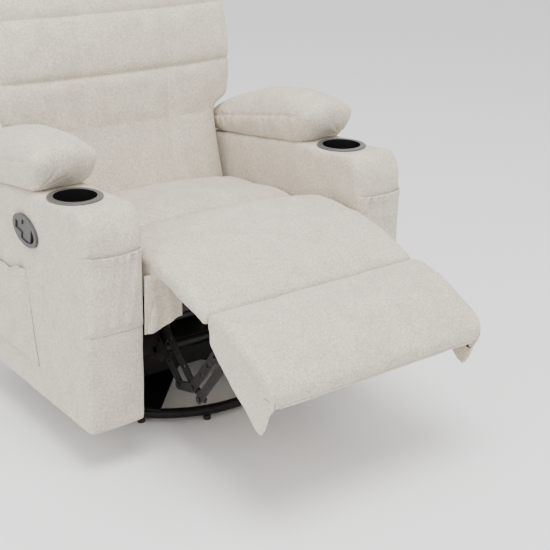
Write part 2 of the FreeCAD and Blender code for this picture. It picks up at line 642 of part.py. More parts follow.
def make_back():
    cushion_depth = 108.0
    frame_depth = 148.0
    shell_depth = 162.0
    low = 396.0
    post_outer = 275.0
    frame_top = 1000.0

    outline = [on_back(14, low), on_back(0, 440), on_back(-4, 540), on_back(-6, 642)]
    outline += [on_back(cushion_depth, 642), on_back(cushion_depth, low)]
    save("lower_back_cushion", prism(outline, -BACK_HALF, BACK_HALF))

    outline = [on_back(-16, 644), on_back(-42, 700), on_back(-48, 800), on_back(-40, 900)]
    outline += [on_back(-14, 980), on_back(30, 1018), on_back(cushion_depth, BACK_TOP)]
    outline += [on_back(cushion_depth, 644)]
    head = prism(outline, -WING_HALF, WING_HALF)
    under_wing = box(BACK_HALF, WING_HALF + 5.0, 0.0, 400.0, 600.0, WING_LOW)
    head = head.cut([under_wing, mirrored(under_wing)])
    save("head_cushion", head)

    near = cushion_depth + 1.0
    post_outline = [on_back(near, 400), on_back(near, frame_top), on_back(frame_depth, frame_top)]
    post_outline += [on_back(frame_depth, 400)]
    post = prism(post_outline, 235.0, post_outer)
    rails = []
    bracket_x = 231.0
    for z0, z1, half in ((400.0, 460.0, bracket_x), (660.0, 700.0, 235.0), (940.0, frame_top, 235.0)):
        outline = [on_back(near, z0), on_back(near, z1), on_back(frame_depth, z1), on_back(frame_depth, z0)]
        rails.append(prism(outline, -half, half))
    save("back_frame", post, mirrored(post), *rails)

    near = frame_depth + 1.0
    outline = [on_back(near, 346), on_back(near, 648), on_back(shell_depth, 648), on_back(shell_depth, 346)]
    lower = prism(outline, -BACK_HALF, BACK_HALF)
    outline = [on_back(near, 648), on_back(near, 1022), on_back(shell_depth, 1022), on_back(shell_depth, 648)]
    upper = prism(outline, -WING_HALF + 8.0, WING_HALF - 8.0)
    save("back_shell", lower.fuse(upper).removeSplitter())

    x0 = bracket_x
    x1 = 235.0
    bracket = bar(RECLINE_PIVOT, on_back(129, 410), 17.0, x0, x1)
    bracket = bracket.fuse(bar(on_back(129, 410), on_back(129, 560), 17.0, x0, x1)).removeSplitter()
    bracket = drilled(bracket, [(RECLINE_PIVOT, GLIDE_PIN + 1.05)], x0, x1)
    save("back_brackets", bracket, mirrored(bracket))


os.makedirs("parts", exist_ok=True)
make_floor_base()
make_bearing()
make_swivel_deck()
make_glide_links()
make_side_plates()
make_latch()
make_linkage()
make_footrest()
make_seat()
make_arms()
make_pockets()
make_handle()
make_back()
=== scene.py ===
"""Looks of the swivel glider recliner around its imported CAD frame.

Metres, +Z up, the chair faces -Y. Shapes are written with Y measured from the swivel axis, as in part.py,
and place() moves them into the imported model's frame.
"""

import math

import bmesh
import bpy
import numpy as np
from mathutils import Matrix, Vector


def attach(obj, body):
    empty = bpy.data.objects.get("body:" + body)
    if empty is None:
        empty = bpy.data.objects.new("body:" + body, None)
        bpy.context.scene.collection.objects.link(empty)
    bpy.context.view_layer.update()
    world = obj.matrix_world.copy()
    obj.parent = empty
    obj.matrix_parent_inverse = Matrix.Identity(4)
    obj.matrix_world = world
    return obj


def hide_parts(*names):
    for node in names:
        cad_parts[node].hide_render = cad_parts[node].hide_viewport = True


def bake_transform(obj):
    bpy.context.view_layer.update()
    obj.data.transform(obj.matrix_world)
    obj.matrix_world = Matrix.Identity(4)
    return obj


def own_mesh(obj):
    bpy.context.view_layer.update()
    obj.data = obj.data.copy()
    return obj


SWIVEL_Y = 0.185
CLOTH_STIFFNESS = 12.0
SIM_FRAMES = 18
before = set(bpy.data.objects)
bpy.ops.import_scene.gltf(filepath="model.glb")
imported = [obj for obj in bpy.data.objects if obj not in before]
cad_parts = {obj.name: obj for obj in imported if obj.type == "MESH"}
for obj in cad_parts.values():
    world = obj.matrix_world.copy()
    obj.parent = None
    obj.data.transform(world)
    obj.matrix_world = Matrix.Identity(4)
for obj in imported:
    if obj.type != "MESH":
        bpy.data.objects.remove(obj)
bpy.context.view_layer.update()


# ---------------------------------------------------------------- mesh helpers
def place(points):
    """Points with Y from the swivel axis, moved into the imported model's frame."""
    moved = np.array(points, float).reshape(-1, 3).copy()
    moved[:, 1] += SWIVEL_Y
    return moved


def make_object(name, points, faces):
    """A new mesh object in the scene, from points that are already placed."""
    mesh = bpy.data.meshes.new(name)
    mesh.from_pydata([tuple(p) for p in points], [], faces)
    mesh.validate()
    piece = bpy.data.objects.new(name, mesh)
    bpy.context.collection.objects.link(piece)
    return piece


def read_points(piece):
    """The piece's points, with Y from the swivel axis."""
    flat = np.empty(len(piece.data.vertices) * 3, np.float32)
    piece.data.vertices.foreach_get("co", flat)
    points = flat.reshape(-1, 3).astype(float)
    points[:, 1] -= SWIVEL_Y
    return points


def write_points(piece, points):
    """Puts back points that have Y from the swivel axis."""
    moved = place(points)
    piece.data.vertices.foreach_set("co", moved.astype(np.float32).ravel())
    piece.data.update()


def read_normals(piece):
    flat = np.empty(len(piece.data.vertices) * 3, np.float32)
    piece.data.vertices.foreach_get("normal", flat)
    return flat.reshape(-1, 3).astype(float)


def bake(piece):
    """Applies the piece's modifiers to its mesh."""
    graph = bpy.context.evaluated_depsgraph_get()
    done = bpy.data.meshes.new_from_object(piece.evaluated_get(graph))
    old = piece.data
    piece.modifiers.clear()
    piece.data = done
    done.name = piece.name
    bpy.data.meshes.remove(old)


def remesh(piece, voxel):
    grid = piece.modifiers.new("grid", "REMESH")
    grid.mode = "VOXEL"
    grid.voxel_size = voxel
    bake(piece)


def subdivide(piece):
    finer = piece.modifiers.new("finer", "SUBSURF")
    finer.levels = 1
    finer.render_levels = 1
    bake(piece)


def relax(piece, rounds, held=None):
    """Laplacian smoothing. held gives each point's share of stillness, 0 to 1."""
    points = read_points(piece)
    count = len(points)
    edges = np.empty(len(piece.data.edges) * 2, np.int32)
    piece.data.edges.foreach_get("vertices", edges)
    a = edges[0::2]
    b = edges[1::2]
    degree = np.maximum(np.bincount(a, minlength=count) + np.bincount(b, minlength=count), 1)
    free = 0.5 if held is None else 0.5 * (1.0 - held)[:, None]
    for _ in range(rounds):
        mean = np.empty_like(points)
        for axis in range(3):
            total = np.bincount(a, points[b, axis], count) + np.bincount(b, points[a, axis], count)
            mean[:, axis] = total / degree
        points += free * (mean - points)
    write_points(piece, points)


def face_outward(piece):
    """Makes all of the piece's faces point outwards."""
    mesh = bmesh.new()
    mesh.from_mesh(piece.data)
    bmesh.ops.recalc_face_normals(mesh, faces=mesh.faces)
    mesh.to_mesh(piece.data)
    mesh.free()


def loft(name, rings):
    """Skins a list of rings with the same number of points and closes both ends."""
    rings = np.array(rings, float)
    count, around, _ = rings.shape
    faces = []
    for r in range(count - 1):
        for k in range(around):
            after = (k + 1) % around
            low = r * around
            high = low + around
            faces.append((low + k, low + after, high + after, high + k))
    faces.append(tuple(reversed(range(around))))
    faces.append(tuple((count - 1) * around + k for k in range(around)))
    piece = make_object(name, place(rings), faces)
    face_outward(piece)
    return piece


def smooth_step(low, high, value):
    """0 at low, 1 at high, and a smooth rise between them."""
    t = np.clip((np.asarray(value, float) - low) / (high - low), 0.0, 1.0)
    return t * t * (3.0 - 2.0 * t)


def table(keys, values, at):
    """The value at a key, read between the given ones in a straight line."""
    return np.interp(at, keys, values)


def resample(outline, count):
    """count points evenly spaced round a closed outline of (Y, Z) points."""
    loop = np.array(list(outline) + [outline[0]], float)
    steps = np.linalg.norm(np.diff(loop, axis=0), axis=1)
    along = np.concatenate([[0.0], np.cumsum(steps)])
    wanted = np.linspace(0.0, along[-1], count, endpoint=False)
    return np.stack([np.interp(wanted, along, loop[:, 0]), np.interp(wanted, along, loop[:, 1])], axis=1)


def extrude(name, outline, x0, x1, around=160):
    """A closed (Y, Z) outline extruded along X."""
    loop = resample(outline, around)
    rings = []
    for x in np.linspace(x0, x1, 3):
        rings.append([(x, y, z) for y, z in loop])
    return loft(name, rings)


def rounded_ring(half, front, rear, z, square_x, square_y):
    """A level ring like a box with rounded corners. Higher square values give sharper corners."""
    around = 160
    middle = (front + rear) / 2
    depth = (rear - front) / 2
    ring = []
    for k in range(around):
        turn = 2.0 * math.pi * k / around
        c = math.cos(turn)
        s = math.sin(turn)
        x = half * math.copysign(abs(c) ** (2 / square_x), c)
        y = middle + depth * math.copysign(abs(s) ** (2 / square_y), s)
        ring.append((x, y, z))
    return ring


def join(target, *others):
    """Adds the other pieces' meshes to target and removes them."""
    both = bmesh.new()
    both.from_mesh(target.data)
    for other in others:
        both.from_mesh(other.data)
        bpy.data.objects.remove(other)
    both.to_mesh(target.data)
    both.free()


def cut_away(piece, cutter):
    """Boolean difference, after which the cutter is gone."""
    hole = piece.modifiers.new("hole", "BOOLEAN")
    hole.operation = "DIFFERENCE"
    hole.solver = "EXACT"
    hole.object = cutter
    bake(piece)
    bpy.data.objects.remove(cutter)


def swell(piece, pressure, cap, pinned, grow=0.0):
    """Cloth simulation under inner pressure. No point ends further than cap from where it began.

    pinned gives each point's share of stillness, and grow is the cloth's extra size.
    """
    start = read_points(piece)
    sim = piece.modifiers.new("sim", "CLOTH")
    rules = sim.settings
    rules.quality = 5
    rules.mass = 0.3
    rules.tension_stiffness = CLOTH_STIFFNESS
    rules.compression_stiffness = CLOTH_STIFFNESS
    rules.shear_stiffness = CLOTH_STIFFNESS * 0.5
    rules.bending_stiffness = 0.6
    rules.use_pressure = True
    rules.uniform_pressure_force = pressure
    rules.effector_weights.gravity = 0.0
    rules.shrink_min = -grow
    group = piece.vertex_groups.new(name="pin")
    for index, weight in enumerate(pinned):
        if weight > 0.01:
            group.add([index], float(weight), "REPLACE")
    rules.vertex_group_mass = "pin"
    scene = bpy.context.scene
    for number in range(1, SIM_FRAMES + 1):
        scene.frame_set(number)
    bake(piece)
    scene.frame_set(1)
    piece.vertex_groups.clear()
    moved = read_points(piece) - start
    length = np.linalg.norm(moved, axis=1)
    keep = np.minimum(1.0, cap / np.maximum(length, 1e-9))
    write_points(piece, start + moved * keep[:, None])


def value_noise(points, scale, seed):
    """Smooth repeatable noise from -1 to 1, from a few sine waves in fixed directions."""
    rng = np.random.default_rng(seed)
    total = np.zeros(len(points))
    for _ in range(9):
        direction = rng.normal(size=3)
        direction /= np.linalg.norm(direction)
        rate = rng.uniform(0.6, 1.5) / scale
        total += np.sin(points @ direction * rate * 2.0 * math.pi + rng.uniform(0.0, 6.3))
    return total / 4.5


def push(piece, amount):
    """Moves every point along its normal by amount (metres)."""
    write_points(piece, read_points(piece) + read_normals(piece) * np.asarray(amount)[:, None])


def groove(distance, width, depth):
    """Inward push for points at a distance from a seam line: a soft dip with a sharp middle."""
    near = np.exp(-np.abs(distance) / width)
    return -depth * near


# ---------------------------------------------------------------- materials
def new_material(name):
    """A bare material, with its nodes, its links and its surface shader."""
    material = bpy.data.materials.new(name)
    material.use_nodes = True
    nodes = material.node_tree.nodes
    links = material.node_tree.links
    nodes.clear()
    output = nodes.new("ShaderNodeOutputMaterial")
    surface = nodes.new("ShaderNodeBsdfPrincipled")
    links.new(surface.outputs[0], output.inputs[0])
    return material, nodes, links, surface


def noise_texture(nodes, scale, detail):
    texture = nodes.new("ShaderNodeTexNoise")
    texture.inputs["Scale"].default_value = scale
    texture.inputs["Detail"].default_value = detail
    return texture


def add_relief(nodes, links, surface, height, strength, distance):
    """Small bumps on the surface, from a height socket."""
    relief = nodes.new("ShaderNodeBump")
    relief.inputs["Strength"].default_value = strength
    relief.inputs["Distance"].default_value = distance
    links.new(height, relief.inputs["Height"])
    links.new(relief.outputs["Normal"], surface.inputs["Normal"])


def cloth_material(name, color, mottle=0.05, bump=0.35):
    """Soft velvety upholstery: a fine mottled weave with a faint nap."""
    material, nodes, links, surface = new_material(name)
    where = nodes.new("ShaderNodeTexCoord")
    blotch = noise_texture(nodes, 210.0, 6.0)
    blotch.inputs["Roughness"].default_value = 0.75
    wide = noise_texture(nodes, 22.0, 5.0)
    fine = noise_texture(nodes, 620.0, 3.0)
    for texture in (blotch, wide, fine):
        links.new(where.outputs["Object"], texture.inputs["Vector"])
    ramp = nodes.new("ShaderNodeValToRGB")
    ramp.color_ramp.elements[0].position = 0.36
    ramp.color_ramp.elements[1].position = 0.64
    dark = [c * (1.0 - mottle * 2.2) for c in color]
    light = [min(1.0, c * (1.0 + mottle)) for c in color]
    ramp.color_ramp.elements[0].color = (*dark, 1.0)
    ramp.color_ramp.elements[1].color = (*light, 1.0)
    links.new(blotch.outputs["Fac"], ramp.inputs["Fac"])
    tone = nodes.new("ShaderNodeMapRange")
    tone.inputs["From Min"].default_value = 0.3
    tone.inputs["From Max"].default_value = 0.7
    tone.inputs["To Min"].default_value = 0.93
    tone.inputs["To Max"].default_value = 1.07
    links.new(wide.outputs["Fac"], tone.inputs["Value"])
    blend = nodes.new("ShaderNodeVectorMath")
    blend.operation = "SCALE"
    links.new(ramp.outputs["Color"], blend.inputs[0])
    links.new(tone.outputs["Result"], blend.inputs["Scale"])
    links.new(blend.outputs["Vector"], surface.inputs["Base Color"])
    surface.inputs["Roughness"].default_value = 0.92
    surface.inputs["Specular IOR Level"].default_value = 0.15
    surface.inputs["Sheen Weight"].default_value = 0.25
    surface.inputs["Sheen Roughness"].default_value = 0.5
    height = nodes.new("ShaderNodeMath")
    height.operation = "ADD"
    links.new(blotch.outputs["Fac"], height.inputs[0])
    links.new(fine.outputs["Fac"], height.inputs[1])
    add_relief(nodes, links, surface, height.outputs["Value"], bump, 0.0015)
    return material


def hard_material(name, color, metallic, roughness, shine=0.5):
    """Painted steel, plated steel or moulded plastic with a little surface grain."""
    grain = 0.05
    material, nodes, links, surface = new_material(name)
    surface.inputs["Base Color"].default_value = (*color, 1.0)
    surface.inputs["Metallic"].default_value = metallic
    surface.inputs["Specular IOR Level"].default_value = shine
    where = nodes.new("ShaderNodeTexCoord")
    texture = noise_texture(nodes, 260.0, 4.0)
    links.new(where.outputs["Object"], texture.inputs["Vector"])
    spread = nodes.new("ShaderNodeMapRange")
    spread.inputs["To Min"].default_value = roughness - grain
    spread.inputs["To Max"].default_value = roughness + grain
    links.new(texture.outputs["Fac"], spread.inputs["Value"])
    links.new(spread.outputs["Result"], surface.inputs["Roughness"])
    add_relief(nodes, links, surface, texture.outputs["Fac"], 0.05, 0.0005)
    return material


def wood_material(name, light, dark):
    """Bare timber with its grain along X."""
    material, nodes, links, surface = new_material(name)
    surface.inputs["Roughness"].default_value = 0.7
    where = nodes.new("ShaderNodeTexCoord")
    stretch = nodes.new("ShaderNodeMapping")
    stretch.inputs["Scale"].default_value = (2.0, 30.0, 30.0)
    links.new(where.outputs["Object"], stretch.inputs["Vector"])
    grain = noise_texture(nodes, 6.0, 5.0)
    links.new(stretch.outputs["Vector"], grain.inputs["Vector"])
    ramp = nodes.new("ShaderNodeValToRGB")
    ramp.color_ramp.elements[0].color = (*dark, 1.0)
    ramp.color_ramp.elements[1].color = (*light, 1.0)
    links.new(grain.outputs["Fac"], ramp.inputs["Fac"])
    links.new(ramp.outputs["Color"], surface.inputs["Base Color"])
    return material


CLOTH = cloth_material("cloth", (0.61, 0.545, 0.445), mottle=0.14)
THREAD = cloth_material("thread", (0.70, 0.64, 0.55), mottle=0.02, bump=0.1)
SEAM_SHADE = cloth_material("seam_shade", (0.27, 0.235, 0.195), mottle=0.02, bump=0.1)
BLACK_STEEL = hard_material("black_steel", (0.005, 0.005, 0.0055), 0.10, 0.42, shine=0.25)
ZINC_STEEL = hard_material("zinc_steel", (0.5, 0.5, 0.51), 0.9, 0.35)
BLACK_PLASTIC = hard_material("black_plastic", (0.006, 0.006, 0.0065), 0.0, 0.42)
CUP_RIM = hard_material("cup_rim", (0.085, 0.083, 0.080), 0.0, 0.40)
CUP_BLACK = hard_material("cup_black", (0.006, 0.006, 0.0065), 0.0, 0.30)
GREY_PLASTIC = hard_material("grey_plastic", (0.060, 0.058, 0.056), 0.0, 0.45)
# Painted shade: the seat frame's plywood is coloured near black to stand for the shade under the chaise pad.
SEAT_FRAME_SHADE = hard_material("seat_frame_shade", (0.010, 0.010, 0.010), 0.0, 0.7)
PLYWOOD = wood_material("plywood", (0.68, 0.52, 0.34), (0.52, 0.37, 0.22))


def dress(piece):
    """Covers the piece with cloth, keeps its sewn lines, its painted seam shadows and the black faces of
    painted shade in its notches, and shades it smooth.
    """
    faces = piece.data.polygons
    kept = np.zeros(len(faces), np.int32)
    faces.foreach_get("material_index", kept)
    piece.data.materials.clear()
    piece.data.materials.append(CLOTH)
    if kept.any():
        for other in (THREAD, SEAM_SHADE, BLACK_PLASTIC):
            piece.data.materials.append(other)
        faces.foreach_set("material_index", kept)
    faces.foreach_set("use_smooth", [True] * len(faces))
    piece.data.update()


def upholstered(piece, body, *stood_for, fill):
    """Finishes a padded piece: cloth, the CAD body it rides on and the nodes it stands for."""
    dress(piece)
    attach(piece, body)
    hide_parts(*stood_for)


def hung_sheet(piece, stood_for):
    """Finishes a single sheet of cloth that rides on the carriage."""
    dress(piece)
    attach(piece, "carriage")
    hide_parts(stood_for)


def tube(name, path, radius, sides=6):
    """A fine round tube through the given points, which are in the scene's own frame."""
    rings = []
    for number, point in enumerate(path):
        ahead = path[min(number + 1, len(path) - 1)] - path[max(number - 1, 0)]
        ahead.normalize()
        across = ahead.cross(Vector((0.3, 0.2, 1.0))).normalized()
        up = across.cross(ahead)
        ring = []
        for k in range(sides):
            turn = 2.0 * math.pi * k / sides
            spot = point + radius * (math.cos(turn) * across + math.sin(turn) * up)
            ring.append((spot.x, spot.y - SWIVEL_Y, spot.z))
        rings.append(ring)
    return loft(name, rings)


def surface_hits(piece, starts, direction):
    """Where rays from the starts meet the piece, or None, all with Y from the swivel axis."""
    inverse = piece.matrix_world.inverted()
    turned = (inverse.to_3x3() @ Vector(direction)).normalized()
    found = []
    for start in starts:
        origin = inverse @ Vector((start[0], start[1] + SWIVEL_Y, start[2]))
        hit, where, _, _ = piece.ray_cast(origin, turned)
        spot = piece.matrix_world @ where
        found.append((spot.x, spot.y - SWIVEL_Y, spot.z) if hit else None)
    return found


def straight(start, end, count):
    """count points along a straight line."""
    a = np.array(start, float)
    b = np.array(end, float)
    return [tuple(a + (b - a) * k / (count - 1)) for k in range(count)]


# The numbers of the materials that dress() adds after the cloth itself. The dark seam number gives painted
# shadow lines: dark cloth laid in seams and along edges where shade falls. The black edge number gives
# painted shade inside the footrest's corner notches.
LIGHT_THREAD = 1
PAINTED_SEAM_SHADOW = 2
PAINTED_NOTCH_SHADE = 3


def stitch(piece, starts, direction, kind=LIGHT_THREAD, radius=0.0008):
    """Adds a sewn line to the piece's mesh, laid where rays from the starts meet its surface. A line of the
    dark seam kind is a painted shadow line, not thread.
    """
    bpy.context.view_layer.update()
    found = [hit for hit in surface_hits(piece, starts, direction) if hit]
    path = [Vector((x, y + SWIVEL_Y, z)) for x, y, z in found]
    line = tube("sewn_line", path, radius)
    line.data.polygons.foreach_set("material_index", [kind] * len(line.data.polygons))
    join(piece, line)


# ---------------------------------------------------------------- back
LEAN = math.tan(math.radians(14.0))
BACK_SEAM_X = 0.122
BACK_CHANNELS = (0.752, 0.905)


def back_plane(z):
    """Y of the back's leaning front plane at height z."""
    return 0.136 + (z - 0.440) * LEAN


def make_back():
    """The back's front cushions under one cover, with two upright seams and two cross channels."""
    heights = [0.400, 0.404, 0.420, 0.475, 0.550, 0.618, 0.636, 0.653, 0.700, 0.760, 0.830, 0.900]
    heights += [0.950, 0.985, 1.008, 1.022, 1.028]
    half = [0.270, 0.279, 0.283, 0.284, 0.284, 0.285, 0.295, 0.331, 0.341, 0.345, 0.345, 0.344]
    half += [0.342, 0.337, 0.325, 0.300, 0.260]
    ahead = [0.010, 0.000, -0.004, -0.004, -0.003, -0.002, -0.005, -0.009, -0.018, -0.032, -0.040, -0.037]
    ahead += [-0.026, -0.006, 0.016, 0.038, 0.060]
    rings = []
    for z in np.linspace(heights[0], heights[-1], 90):
        front = back_plane(z) + table(heights, ahead, z)
        rear = back_plane(z) + 0.108
        rings.append(rounded_ring(table(heights, half, z), front, rear, z, 9, 5.5))
    cover = loft("back_cover", rings)
    remesh(cover, 0.0065)
    relax(cover, 4)
    points = read_points(cover)
    side = np.abs(points[:, 0])
    facing = smooth_step(0.02, -0.03, points[:, 1] - (back_plane(points[:, 2]) + 0.02))
    crown = 0.016 * (1.0 - np.clip(side / 0.29, 0, 1) ** 2) * facing
    points[:, 1] -= crown
    write_points(cover, points)
    pinned = smooth_step(0.05, 0.09, points[:, 1] - back_plane(points[:, 2]))
    for line in (-BACK_SEAM_X, BACK_SEAM_X):
        pinned = np.maximum(pinned, np.exp(-((points[:, 0] - line) / 0.006) ** 2))
    for z in BACK_CHANNELS:
        pinned = np.maximum(pinned, np.exp(-(((points[:, 2] - z) / 0.006) ** 2)))
    swell(cover, 3.0, 0.008, np.clip(pinned, 0, 1))
    relax(cover, 2)
    subdivide(cover)
    points = read_points(cover)
    normals = read_normals(cover)
    facing = np.clip(-normals[:, 1], 0, 1)
    seam = np.zeros(len(points))
    for line in (-BACK_SEAM_X, BACK_SEAM_X):
        reach = smooth_step(0.44, 0.47, points[:, 2])
        seam += groove(points[:, 0] - line, 0.016, 0.0045) * reach * facing
        seam += 0.0011 * np.exp(-(((points[:, 0] - line) / 0.0022) ** 2)) * reach * facing
    for z in BACK_CHANNELS:
        seam += groove(points[:, 2] - z, 0.012, 0.012) * facing
    edge = np.abs(np.abs(points[:, 0]) - (table(heights, half, points[:, 2]) - 0.012))
    on_wing = smooth_step(0.2, 0.6, facing) * smooth_step(0.66, 0.70, points[:, 2])
    seam += groove(edge, 0.004, 0.002) * on_wing
    seam += 0.0011 * value_noise(points, 0.11, 3)
    push(cover, seam)
    for x in (-BACK_SEAM_X, BACK_SEAM_X):
        stitch(cover, straight((x, -0.2, 0.455), (x, -0.2, 0.742), 90), (0, 1, 0))
    upholstered(cover, "backrest", "lower_back_cushion", "head_cushion", fill=0.8)


def make_rear():
    """The rear cover, drawn forward over the sides of the back's frame, and the skirt below it."""
    heights = [0.326, 0.346, 0.400, 0.406, 0.636, 0.653, 0.700, 0.950, 0.985, 1.005, 1.016, 1.020]
    half = [0.281, 0.282, 0.284, 0.284, 0.285, 0.328, 0.337, 0.338, 0.333, 0.320, 0.302, 0.280]
    front = [0.1555, 0.1505, 0.1495, 0.107, 0.107, 0.107, 0.107, 0.107, 0.110, 0.118, 0.130, 0.146]
    rings = []
    for z in np.linspace(heights[0], heights[-1], 110):
        ahead = back_plane(z) + table(heights, front, z)
        behind = back_plane(z) + table([0.326, 0.346], [0.1675, 0.1625], z)
        rings.append(rounded_ring(table(heights, half, z), ahead, behind, z, 14, 6))
    panel = loft("rear_cover", rings)
    remesh(panel, 0.0055)
    relax(panel, 3)
    points = read_points(panel)
    normals = read_normals(panel)
    sides = smooth_step(0.6, 0.9, np.abs(normals[:, 0]))
    seam = groove(points[:, 1] - back_plane(points[:, 2]) - 0.150, 0.0025, 0.0025) * sides
    seam += 0.0012 * value_noise(points, 0.14, 5)
    push(panel, seam)
    upholstered(panel, "backrest", "back_shell", fill=0.9)

    outline = [(0.2665, 0.113), (0.2665, 0.296), (0.2735, 0.296), (0.2735, 0.113)]
    skirt = extrude("rear_skirt", outline, -0.288, 0.288)
    remesh(skirt, 0.0035)
    relax(skirt, 2)
    points = read_points(skirt)
    push(skirt, 0.0012 * value_noise(points, 0.09, 6))
    upholstered(skirt, "carriage", "rear_panel", fill=0.9)


# ---------------------------------------------------------------- seat, chaise and footrest
PAD_SEAM_X = 0.112


def make_seat():
    """The crowned seat pad between the arms."""
    outline = [(-0.163, 0.380), (0.131, 0.380), (0.134, 0.430), (0.128, 0.440), (0.060, 0.452)]
    outline += [(-0.060, 0.462), (-0.140, 0.466), (-0.158, 0.460), (-0.1655, 0.446)]
    seat = extrude("seat_cover", outline, -0.291, 0.291)
    remesh(seat, 0.0065)
    relax(seat, 7)
    points = read_points(seat)
    points[:, 2] += 0.020 * (1.0 - (points[:, 0] / 0.29) ** 2) * smooth_step(0.39, 0.45, points[:, 2])
    write_points(seat, points)
    pinned = smooth_step(0.43, 0.40, points[:, 2])
    swell(seat, 2.5, 0.007, pinned)
    relax(seat, 2)
    subdivide(seat)
    points = read_points(seat)
    seam = 0.0012 * value_noise(points, 0.10, 11)
    rounded = smooth_step(0.43, 0.45, points[:, 2])
    seam += groove(points[:, 1] + 0.168, 0.006, 0.007) * rounded
    push(seat, seam)
    upholstered(seat, "carriage", "seat_cushion", fill=0.8)


def make_chaise():
    """The pad in front of the seat, in place of the chaise pad and the chaise bridge."""
    outline = [(-0.168, 0.380), (-0.168, 0.448), (-0.176, 0.464), (-0.200, 0.477), (-0.240, 0.488)]
    outline += [(-0.277, 0.493), (-0.320, 0.494), (-0.363, 0.492), (-0.417, 0.486), (-0.487, 0.471)]
    outline += [(-0.545, 0.449), (-0.580, 0.433), (-0.5895, 0.427), (-0.5905, 0.410), (-0.584, 0.398)]
    outline += [(-0.561, 0.406), (-0.496, 0.424), (-0.431, 0.441), (-0.398, 0.446), (-0.384, 0.430)]
    outline += [(-0.384, 0.380)]
    pad = extrude("chaise_cover", outline, -0.286, 0.286)
    remesh(pad, 0.006)
    points = read_points(pad)
    relax(pad, 5, held=0.85 * np.exp(-(((points[:, 1] + 0.592) / 0.014) ** 2)))
    points = read_points(pad)
    underside = table([-0.59, -0.39, -0.16], [0.40, 0.446, 0.42], points[:, 1])
    top = smooth_step(0.0, 0.03, points[:, 2] - underside)
    fade = smooth_step(-0.590, -0.50, points[:, 1])
    points[:, 2] += 0.012 * (1.0 - (points[:, 0] / 0.29) ** 2) * top * fade
    write_points(pad, points)
    pinned = 1.0 - top
    pinned = np.maximum(pinned, np.exp(-((points[:, 1] + 0.589) / 0.008) ** 2))
    swell(pad, 2.5, 0.007, np.clip(pinned, 0, 1))
    relax(pad, 2)
    subdivide(pad)
    points = read_points(pad)
    normals = read_normals(pad)
    facing = np.clip(normals[:, 2], 0, 1)
    seam = np.zeros(len(points))
    for line in (-PAD_SEAM_X, PAD_SEAM_X):
        reach = smooth_step(-0.500, -0.560, points[:, 1])
        seam += groove(points[:, 0] - line, 0.007, 0.004) * reach * facing
    seam += groove(points[:, 1] + 0.168, 0.006, 0.006) * smooth_step(0.43, 0.45, points[:, 2])
    seam += groove(points[:, 1] + 0.590, 0.004, 0.004) * facing
    seam += 0.0012 * value_noise(points, 0.11, 21)
    push(pad, seam)
    for x in (-PAD_SEAM_X, PAD_SEAM_X):
        stitch(pad, straight((x, -0.525, 0.7), (x, -0.584, 0.7), 24), (0, 0, -1))
    # Painted shadow: a dark line along the seam between seat and chaise, standing for the shade in that
    # crease.
    seat_seam = straight((-0.274, -0.1705, 0.7), (0.274, -0.1705, 0.7), 110)
    stitch(pad, seat_seam, (0, 0, -1), PAINTED_SEAM_SHADOW, 0.0007)
    dress(pad)
    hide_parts("chaise_pad", "chaise_bridge")
    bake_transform(pad)


